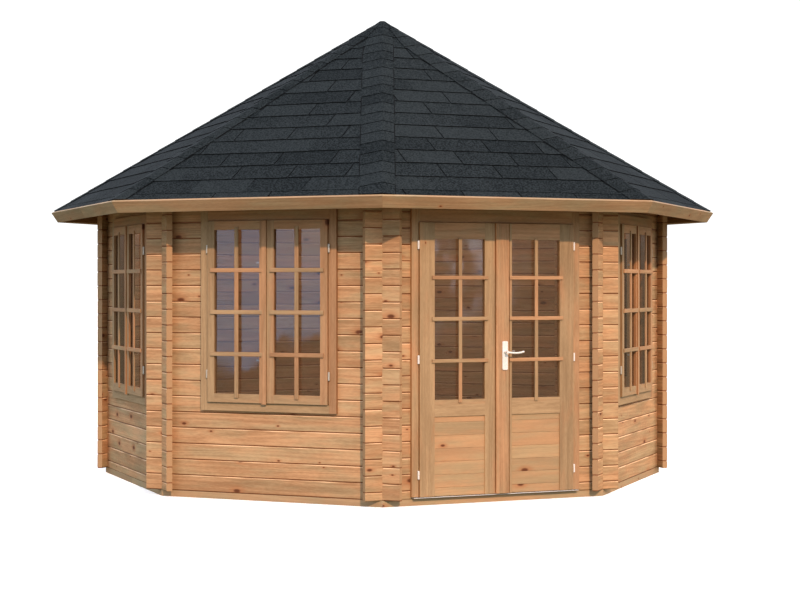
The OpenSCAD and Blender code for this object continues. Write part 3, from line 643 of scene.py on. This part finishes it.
def add_tab(mesh, angle, low_u, high_u, upper, lower):
    """One tab of a course, cut off at the hips."""
    outline = [Vector((low_u, upper)), Vector((high_u, upper)), Vector((high_u, lower)), Vector((low_u, lower))]
    for side in (-1, 1):
        outline = clipped(outline, Vector((side, -HIP_SLOPE)), -HIP_INSET)
    if len(outline) < 3:
        return
    lift = rng.uniform(-TAB_LIFT, TAB_LIFT)
    share = [(s - upper) / (lower - upper) for u, s in outline]
    ends = [
        [roof_point(angle, u, s, lift + heights[0] + part * (heights[1] - heights[0]))
         for (u, s), part in zip(outline, share)]
        for heights in (TAB_UNDER, TAB_TOP)
    ]
    faces = add_prism(mesh, ends)
    # Sides and underside get the dark cut colour, partly bitumen and partly painted shade
    mark_shingle(mesh, faces, set(faces) - {faces[1]})


def add_slot_shade_sheet(mesh, angle):
    """A dark sheet that paints the shade in the slots."""
    outline = [(0.0, 0.01), (FASCIA_BACK_S * HIP_SLOPE, FASCIA_BACK_S), (-FASCIA_BACK_S * HIP_SLOPE, FASCIA_BACK_S)]
    faces = add_prism(mesh, [[roof_point(angle, u, s, n) for u, s in outline] for n in SLOT_SHADE_SHEET])
    mark_shingle(mesh, faces, set(faces))


def add_course(mesh, angle, lower, offset):
    """One course of a roof face, from hip to hip. Some slots are closed by the tab beside them."""
    upper = max(lower - EXPOSURE - HEAD_LAP, NEAREST_APEX)
    reach = lower * HIP_SLOPE
    first = math.floor(-reach / TAB_WIDE - offset)
    for i in range(first, math.ceil(reach / TAB_WIDE - offset) + 1):
        left = (i + offset) * TAB_WIDE
        jitter = rng.uniform(-TAB_JITTER, TAB_JITTER)
        gap = -1 if rng.random() < CLOSED_SLOTS else 1
        add_tab(mesh, angle, left + SLOT_WIDE / 2, left + TAB_WIDE - gap * SLOT_WIDE / 2, upper, lower + jitter)


def make_shingles(material):
    """All courses of the eight faces, alternate ones about half a tab along."""
    mesh = new_shingles()
    for side in range(SIDES):
        add_slot_shade_sheet(mesh, side * TURN)
        lower = FASCIA_BACK_S
        course = side
        while lower > EXPOSURE / 2:
            add_course(mesh, side * TURN, lower, 0.5 * (course % 2) + rng.uniform(-STAGGER, STAGGER))
            lower -= FIRST_COURSE if lower == FASCIA_BACK_S else EXPOSURE
            course += 1
    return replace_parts(new_piece("shingles", mesh, [material], "root"), "shingle_faces")


CAP_LEFT, CAP_RIGHT = 0.151, 0.080      # reach of a hip cap on both faces, seen from outside
CAP_EXPOSURE = 0.165
CAP_LAP = 0.06
CAP_UNDER = (0.0272, 0.0318)
CAP_THICK = 0.0038
CAP_ROUND = 0.012
CAP_DROOP = 0.0035
CAP_ARCH = 0.25             # rise of the fold, in rounds
CAP_FIRST, CAP_LAST = 0.02, 0.12        # nearest to the apex that a cap begins, and that one may end
CAP_INSET, CAP_LEAST = 0.004, 0.002     # room beside a narrow cap near the apex, and its least reach
SHADE_SEAM_WIDE, SHADE_SEAM_UNDER, SHADE_SEAM_TOP = 0.007, 0.0272, 0.0280     # dark sheet that paints a shade line beside the caps
SHADE_SEAM_BREAK = 3              # one cap in so many has none
APEX_CAP_LONG, APEX_CAP_TOP = 0.16, 0.036
HIP_LONG = FASCIA_BACK_S / math.cos(HIP_LEAN)


def hip_section(hip, t, n, droop=0.0, wider=0.0):
    """Points across a hip cap, from the left to the right end, at t down the hip and n off the boards' underside.

    Both ends droop towards the shingles below, and reach out further by wider.
    """
    most = max(t * math.sin(HIP_LEAN) - CAP_INSET, CAP_LEAST)

    def beside(side, w, n):
        down = min(t, HIP_LONG - w * math.tan(HIP_LEAN))
        along = down * math.sin(HIP_LEAN) - w * math.cos(HIP_LEAN)
        s = down * math.cos(HIP_LEAN) + w * math.sin(HIP_LEAN)
        return roof_point(hip - side * HALF_TURN, side * along, s, n)

    near = min(CAP_ROUND, most / 2)
    left = [beside(1, min(CAP_LEFT + wider, most), n - droop), beside(1, near, n)]
    right = [beside(-1, near, n), beside(-1, min(CAP_RIGHT + wider, most), n - droop)]
    ridge = (left[1] + right[0]) / 2 + Vector((0, 0, CAP_ARCH * near))
    return left + [ridge] + right


def make_hip_caps(material):
    """Folded caps up every hip, each lapping the one below, with dark sheets beside most that paint a shade line, and
    one cap at the apex.
    """
    mesh = new_shingles()
    for side in range(SIDES):
        hip = side * TURN + HALF_TURN
        lower, index = HIP_LONG, side
        while lower > CAP_LAST:
            upper = max(lower - CAP_EXPOSURE - CAP_LAP, CAP_FIRST)
            ends = []
            for t, under in ((upper, CAP_UNDER[0]), (lower, CAP_UNDER[1])):
                top = hip_section(hip, t, under + CAP_THICK, CAP_DROOP)
                ends.append(top + hip_section(hip, t, under, 2 * CAP_DROOP)[::-1])
            faces = add_prism(mesh, ends)
            mark_shingle(mesh, faces, set(faces[:2]))
            if index % SHADE_SEAM_BREAK:
                ends = []
                for t in (max(lower - CAP_EXPOSURE, CAP_FIRST), lower):
                    top = hip_section(hip, t, SHADE_SEAM_TOP, wider=SHADE_SEAM_WIDE)
                    ends.append(top + hip_section(hip, t, SHADE_SEAM_UNDER, wider=SHADE_SEAM_WIDE)[::-1])
                faces = add_prism(mesh, ends)
                mark_shingle(mesh, faces, set(faces), tone=0.0)
            lower -= CAP_EXPOSURE
            index += 1
    faces = add_prism(mesh, [
        [roof_point(side * TURN + HALF_TURN, 0, s, n) for side in range(SIDES)]
        for s, n in ((NEAREST_APEX, APEX_CAP_TOP), (APEX_CAP_LONG, CAP_UNDER[1]))
    ])
    mark_shingle(mesh, faces, set())
    return new_piece("hip_caps", mesh, [material], "root")


SHINGLE = shingle_material()
make_shingles(SHINGLE)
make_hip_caps(SHINGLE)


# Boards of the roof, the floor and the door

ROOF_BOARD_WIDE = 0.0945
ROOF_BOARD_CHAMFER = 0.004
ROOF_BOARD_GAP = 0.0004
ROOF_BOARD_TOP = 0.06       # bare at the apex
FLOOR_BOARD_WIDE = 0.114
FLOOR_BOARD_GAP = 0.0015


def make_roof_boards():
    """Boards from hip to hip on every face, with chamfered edges on the underside."""
    mesh = new_timbers()
    count = round((FASCIA_BACK_S - ROOF_BOARD_TOP) / ROOF_BOARD_WIDE)
    for side in range(SIDES):
        for i in range(count):
            low = FASCIA_BACK_S - i * ROOF_BOARD_WIDE
            high = low - ROOF_BOARD_WIDE + ROOF_BOARD_GAP
            section = [
                (high, BOARD_THICK), (high, ROOF_BOARD_CHAMFER), (high + ROOF_BOARD_CHAMFER, 0),
                (low - ROOF_BOARD_CHAMFER, 0), (low, ROOF_BOARD_CHAMFER), (low, BOARD_THICK),
            ]
            ends, grains = [], []
            for end in (-1, 1):
                reach = [
                    end * (math.tan(HALF_TURN) * (s * math.cos(PITCH) + n * math.sin(PITCH)) - HIP_INSET / 2)
                    for s, n in section
                ]
                ends.append([roof_point(side * TURN, u, s, n) for u, (s, n) in zip(reach, section)])
                grains.append([Vector((u, n, s)) for u, (s, n) in zip(reach, section)])
            add_prism(mesh, ends, grains)
    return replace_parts(new_piece("roof_boarding", mesh, [BOARDING], "root"), "roof_boards")


def make_floor_boards():
    """Floor boards across the joists, cut to the octagon."""
    mesh = new_timbers()
    low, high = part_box("floor_deck")
    flat_r = high.x
    corner = flat_r / math.cos(HALF_TURN)
    angles = [i * TURN + HALF_TURN for i in range(SIDES)]
    octagon = [Vector((corner * math.cos(angle), corner * math.sin(angle))) for angle in angles]
    rows = math.ceil(flat_r / FLOOR_BOARD_WIDE)
    for row in range(-rows, rows):
        near = row * FLOOR_BOARD_WIDE
        outline = clipped(octagon, Vector((0, -1)), -near)
        outline = clipped(outline, Vector((0, 1)), near + FLOOR_BOARD_WIDE - FLOOR_BOARD_GAP)
        if len(outline) > 2:
            ends = [[Vector((x, y, z)) for x, y in outline] for z in (low.z, high.z)]
            grains = [[Vector((p.x, p.z, p.y)) for p in end] for end in ends]
            add_prism(mesh, ends, grains)
    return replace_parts(new_piece("floor_boarding", mesh, [BOARDING], "root"), "floor_deck")


PANEL_JOINT = 0.575         # highest board joint of a door panel
PANEL_BOARD = 0.0912
PANEL_JOINT_WIDE = 0.0006
PANEL_CHAMFER = 0.0018
SASH_BAR_WIDE, LEAF_BAR_WIDE, BAR_THICK, BAR_CHAMFER = 0.030, 0.026, 0.010, 0.002
CATCH_LEVELS, CATCH_X, CATCH_REACH = (0.998, 1.693), -0.052, 0.053
CATCH_WIDE, CATCH_HIGH, CATCH_THICK, CATCH_CHAMFER = 0.012, 0.030, 0.006, 0.001
DRIP_TOP, DRIP_HIGH, DRIP_REACH, DRIP_CHAMFER = 0.057, 0.003, 0.041, 0.0008
DRIP_LONG = 1.295
# Bars past the glass: over the stiles and the sill rail, and over the top rail
SASH_LAPS, LEAF_LAPS = (0.028, 0.020), (0.022, 0.005)
BAR_SEAT = 0.0003
LEAF_OUT, LEAF_IN = -0.041, 0.001       # outer and inner face of sashes and leaves


def make_door_panel(side):
    """Lower boards of a door leaf."""
    mesh = new_timbers()
    low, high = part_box(f"{side}_door_panel")
    joints = [high.z]
    while joints[-1] > low.z:
        joints.append(max(PANEL_JOINT - (len(joints) - 1) * PANEL_BOARD, low.z))
    for top, foot in zip(joints, joints[1:]):
        middle = Vector(((low.x + high.x) / 2, high.y, (top + foot) / 2))
        wide = top - foot - PANEL_JOINT_WIDE
        add_bar(mesh, Matrix.Translation(middle), high.x - low.x, wide, high.y - low.y, PANEL_CHAMFER)
    piece = new_piece(f"{side}_door_boards", mesh, [PANELLING], f"{side}_door")
    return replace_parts(piece, f"{side}_door_panel")


def add_lattice(mesh, wall, low, high, levels, wide, laps):
    """Glazing bars over a pane from (u, z) to (u, z): one upright and a level bar at each height."""
    middle = (low[0] + high[0]) / 2
    edges = [low[1] - laps[0], *levels, high[1] + laps[1]]
    for z in levels:
        place = wall @ Matrix.Translation((middle, LEAF_OUT - BAR_SEAT, z))
        add_bar(mesh, place, high[0] - low[0] + 2 * laps[0], wide, BAR_THICK, BAR_CHAMFER)
    for start, end in zip(edges, edges[1:]):
        start += wide / 2 if start in levels else 0
        end -= wide / 2 if end in levels else 0
        place = wall @ Matrix.Translation((middle, LEAF_OUT - BAR_SEAT, (start + end) / 2)) @ UPRIGHT
        add_bar(mesh, place, end - start - 2 * BAR_SEAT, wide, BAR_THICK - BAR_SEAT, BAR_CHAMFER)


def make_catches(wall, angle):
    """Two small catches on the inner face of a window's meeting stile, each a plate with a tongue over the glass."""
    mesh = new_timbers()
    for z in CATCH_LEVELS:
        seat = wall_frame(angle) @ Matrix.Translation((CATCH_X, LEAF_IN + BAR_SEAT, z)) @ INWARDS
        add_bar(mesh, seat @ UPRIGHT, CATCH_HIGH, CATCH_WIDE, CATCH_THICK, CATCH_CHAMFER)
        tongue = seat @ Matrix.Translation((CATCH_REACH / 2, -CATCH_THICK, 0))
        add_bar(mesh, tongue, CATCH_REACH, CATCH_WIDE, CATCH_THICK, CATCH_CHAMFER)
    new_piece(f"{wall}_window_catches", mesh, [CHROME], "root")


def make_drip_strip():
    """Metal strip along the threshold, in front of the logs."""
    mesh = new_timbers()
    place = Matrix.Translation((0, -FACE_R - BAR_SEAT, DRIP_TOP - DRIP_HIGH / 2))
    add_bar(mesh, place, DRIP_LONG, DRIP_HIGH, DRIP_REACH, DRIP_CHAMFER)
    new_piece("threshold_strip", mesh, [CHROME], "root")


WINDOW_LEVELS = (1.042, 1.341, 1.640)
DOOR_LEVELS = (1.005, 1.298, 1.586)

make_roof_boards()
make_floor_boards()
for side, (low, high) in LEAF_PANES.items():
    make_door_panel(side)
    lattice = new_timbers()
    sill, top = DOOR_PANE_Z
    add_lattice(lattice, wall_frame(FRONT), (low, sill), (high, top), DOOR_LEVELS, LEAF_BAR_WIDE, LEAF_LAPS)
    new_piece(f"{side}_door_bars", lattice, [JOINERY], f"{side}_door")
for wall, angle in WINDOWS.items():
    lattice = new_timbers()
    (near, sill), (far, top) = PANE
    for low, high in ((near, far), (-far, -near)):
        add_lattice(lattice, wall_frame(angle), (low, sill), (high, top), WINDOW_LEVELS, SASH_BAR_WIDE, SASH_LAPS)
    new_piece(f"{wall}_window_bars", lattice, [JOINERY], "root")
    make_catches(wall, angle)
make_drip_strip()


# Stage, light and camera

SUN_AZIMUTH, SUN_ELEVATION, SUN_WIDE = math.radians(-98), math.radians(32), math.radians(1.6)
SUN_POWER, SUN_LIGHT = 3.40, (1.0, 0.645, 0.434)
GLOW_AZIMUTH, GLOW_ELEVATION, GLOW_WIDE = math.radians(-8), math.radians(24), math.radians(50)
GLOW_POWER, GLOW_LIGHT = 1.20, (1.0, 0.70, 0.42)
ROOM_POWER, ROOM_LIGHT = 72, (1.0, 0.80, 0.65)
ROOM_LAMP_R, ROOM_LAMP_AT = 0.5, (0, 0, 1.7)
SKY_LIGHT, GROUND_LIGHT = (1.18, 1.26, 1.43, 1), (0.33, 0.285, 0.185, 1)
BACKDROP = (1.2, 1.2, 1.2, 1)
HAZE_LIGHT, CLOUD_LIGHT, GLINT_LIGHT = (0.64, 1.0, 1.42, 1), (1.3, 1.3, 1.25, 1), (1.6, 1.7, 1.9, 1)
FIELD_TOWARDS, WOOD_TOWARDS, RIGHT_OF_WOOD = (-0.924, -0.383, 0), (0.383, -0.924, 0), (0.924, 0.383, 0)
# What the panes mirror, by height and place of a direction: pairs from none to full, or with the values there
CROWN_SCALE, LEAF_SCALE = (60.0, 60.0, 40.0), (115.0, 115.0, 85.0)
CROWN_HIGH, TREE_LINE, OVER_TREES = 0.030, (-0.085, -0.050, -0.062, -0.042), (-0.001, 0.002)
OVER_WOODS, FIELD_EDGE = (-0.02, 0.22), (0.90, 0.97)
HAZE_EDGE, HAZE_TOP = (0.94, 0.98), (0.16, 0.08)
CLOUD_FOOT, CLOUD_EDGE = (0.010, 0.026, 0.0, 0.6), (-0.07, -0.04)
GLINTS, GLINT_FOOT = (0.48, 0.66, 0.0, 0.8), (-0.045, 0.012)
GLINT_RIGHT, GLINT_EDGE = (0.090, 0.050), (0.90, 0.97)
FLOOR_SIZE, FLOOR_AT = 3000, (0, 0, -0.002)
FLOOR_GLOW = 0.4
PHOTO_WIDE, PHOTO_HIGH = 800, 600
FOCAL_PX, AXIS_X, AXIS_Y = 1723.1, 382.36, 286.49
CAMERA_AZIMUTH, CAMERA_FAR, CAMERA_HIGH = math.radians(-22.5), 14.160, 1.524


def make_floor():
    """Plain pale floor that throws no light back."""
    material, _, shader = new_material("pale_floor", Base_Color=(0.9, 0.9, 0.9, 1), Roughness=0.9)
    shader.inputs["Emission Color"].default_value = (1, 1, 1, 1)
    shader.inputs["Emission Strength"].default_value = FLOOR_GLOW
    bpy.ops.mesh.primitive_plane_add(size=FLOOR_SIZE, location=FLOOR_AT)
    floor = bpy.context.object
    floor.name = "pale_floor"
    floor.data.materials.append(material)
    floor.visible_diffuse = floor.visible_glossy = False


def make_world():
    """Soft pale sky over a dull ground. The panes mirror woods, a field and haze; behind the object all is plain."""
    world = bpy.data.worlds.new("studio")
    bpy.context.scene.world = world
    world.use_nodes = True
    world.node_tree.nodes.clear()
    g = Graph(world.node_tree)
    direction = g.add("ShaderNodeTexCoord").outputs["Generated"]
    height = g.split(direction)[2]
    across = g.vector("DOT_PRODUCT", direction, WOOD_TOWARDS)
    beside = g.vector("DOT_PRODUCT", direction, RIGHT_OF_WOOD)
    field = g.vector("DOT_PRODUCT", direction, FIELD_TOWARDS)

    # Low in the sky there are woods all round, but for a field with a far line of trees
    crowns = g.noise(g.scaled(direction, CROWN_SCALE), 4.0)
    trees = g.math("MULTIPLY_ADD", crowns, CROWN_HIGH, g.ramp(across, *TREE_LINE))
    over_field = g.ramp(g.math("SUBTRACT", height, trees), *OVER_TREES)
    over_woods = g.ramp(height, *OVER_WOODS)
    sky = g.add("ShaderNodeMix", {0: g.ramp(field, *FIELD_EDGE), 2: over_woods, 3: over_field}).outputs[0]
    haze = g.math("MULTIPLY", g.ramp(field, *HAZE_EDGE), g.ramp(height, *HAZE_TOP))
    cloud = g.math("MULTIPLY", g.ramp(height, *CLOUD_FOOT), g.ramp(across, *CLOUD_EDGE))
    light = g.mix(haze, SKY_LIGHT, g.mix(cloud, HAZE_LIGHT, CLOUD_LIGHT))
    light = g.mix(sky, GROUND_LIGHT, light)

    # Sky between the leaves, opposite the door
    leaves = g.noise(g.scaled(direction, LEAF_SCALE), 3.0)
    glints = g.math("MULTIPLY", g.ramp(leaves, *GLINTS), g.ramp(height, *GLINT_FOOT))
    glints = g.math("MULTIPLY", glints, g.ramp(beside, *GLINT_RIGHT))
    glints = g.math("MULTIPLY", glints, g.ramp(across, *GLINT_EDGE))
    light = g.mix(glints, light, GLINT_LIGHT)
    light = g.mix(g.add("ShaderNodeLightPath").outputs["Is Camera Ray"], light, BACKDROP)
    background = g.add("ShaderNodeBackground", {"Color": light})
    g.add("ShaderNodeOutputWorld", {"Surface": background.outputs[0]})


def make_lamp(name, kind, energy, colour):
    """A lamp that the camera and the panes don't show."""
    lamp = bpy.data.lights.new(name, kind)
    lamp.energy = energy
    lamp.color = colour
    holder = bpy.data.objects.new(name, lamp)
    holder.visible_camera = holder.visible_glossy = holder.visible_transmission = False
    bpy.context.collection.objects.link(holder)
    return holder


def make_sun(name, energy, colour, azimuth, elevation, wide):
    """A far lamp from a direction, as wide as an angle."""
    sun = make_lamp(name, "SUN", energy, colour)
    sun.data.angle = wide
    level = math.cos(elevation)
    towards = Vector((level * math.cos(azimuth), level * math.sin(azimuth), math.sin(elevation)))
    sun.rotation_euler = towards.to_track_quat("Z", "Y").to_euler()


def make_lamps():
    """Warm low sun, a wide glow from the right, and a soft fill that shows the room through the panes."""
    make_sun("sun", SUN_POWER, SUN_LIGHT, SUN_AZIMUTH, SUN_ELEVATION, SUN_WIDE)
    make_sun("glow", GLOW_POWER, GLOW_LIGHT, GLOW_AZIMUTH, GLOW_ELEVATION, GLOW_WIDE)
    fill = make_lamp("room_fill", "POINT", ROOM_POWER, ROOM_LIGHT)
    fill.data.shadow_soft_size = ROOM_LAMP_R
    fill.location = ROOM_LAMP_AT


def make_camera():
    """Level camera at the photograph's place, its shift giving the photograph's framing."""
    data = bpy.data.cameras.new("camera")
    data.sensor_width = 36
    data.lens = FOCAL_PX * data.sensor_width / PHOTO_WIDE
    data.shift_x = (PHOTO_WIDE / 2 - AXIS_X) / PHOTO_WIDE
    data.shift_y = (AXIS_Y - PHOTO_HIGH / 2) / PHOTO_WIDE
    data.clip_end = FLOOR_SIZE
    camera = bpy.data.objects.new("camera", data)
    camera.location = (CAMERA_FAR * math.sin(CAMERA_AZIMUTH), -CAMERA_FAR * math.cos(CAMERA_AZIMUTH), CAMERA_HIGH)
    camera.rotation_euler = (math.pi / 2, 0, CAMERA_AZIMUTH)
    bpy.context.collection.objects.link(camera)
    bpy.context.scene.camera = camera


make_floor()
make_world()
make_lamps()
make_camera()
bpy.context.scene.view_settings.view_transform = "Standard"
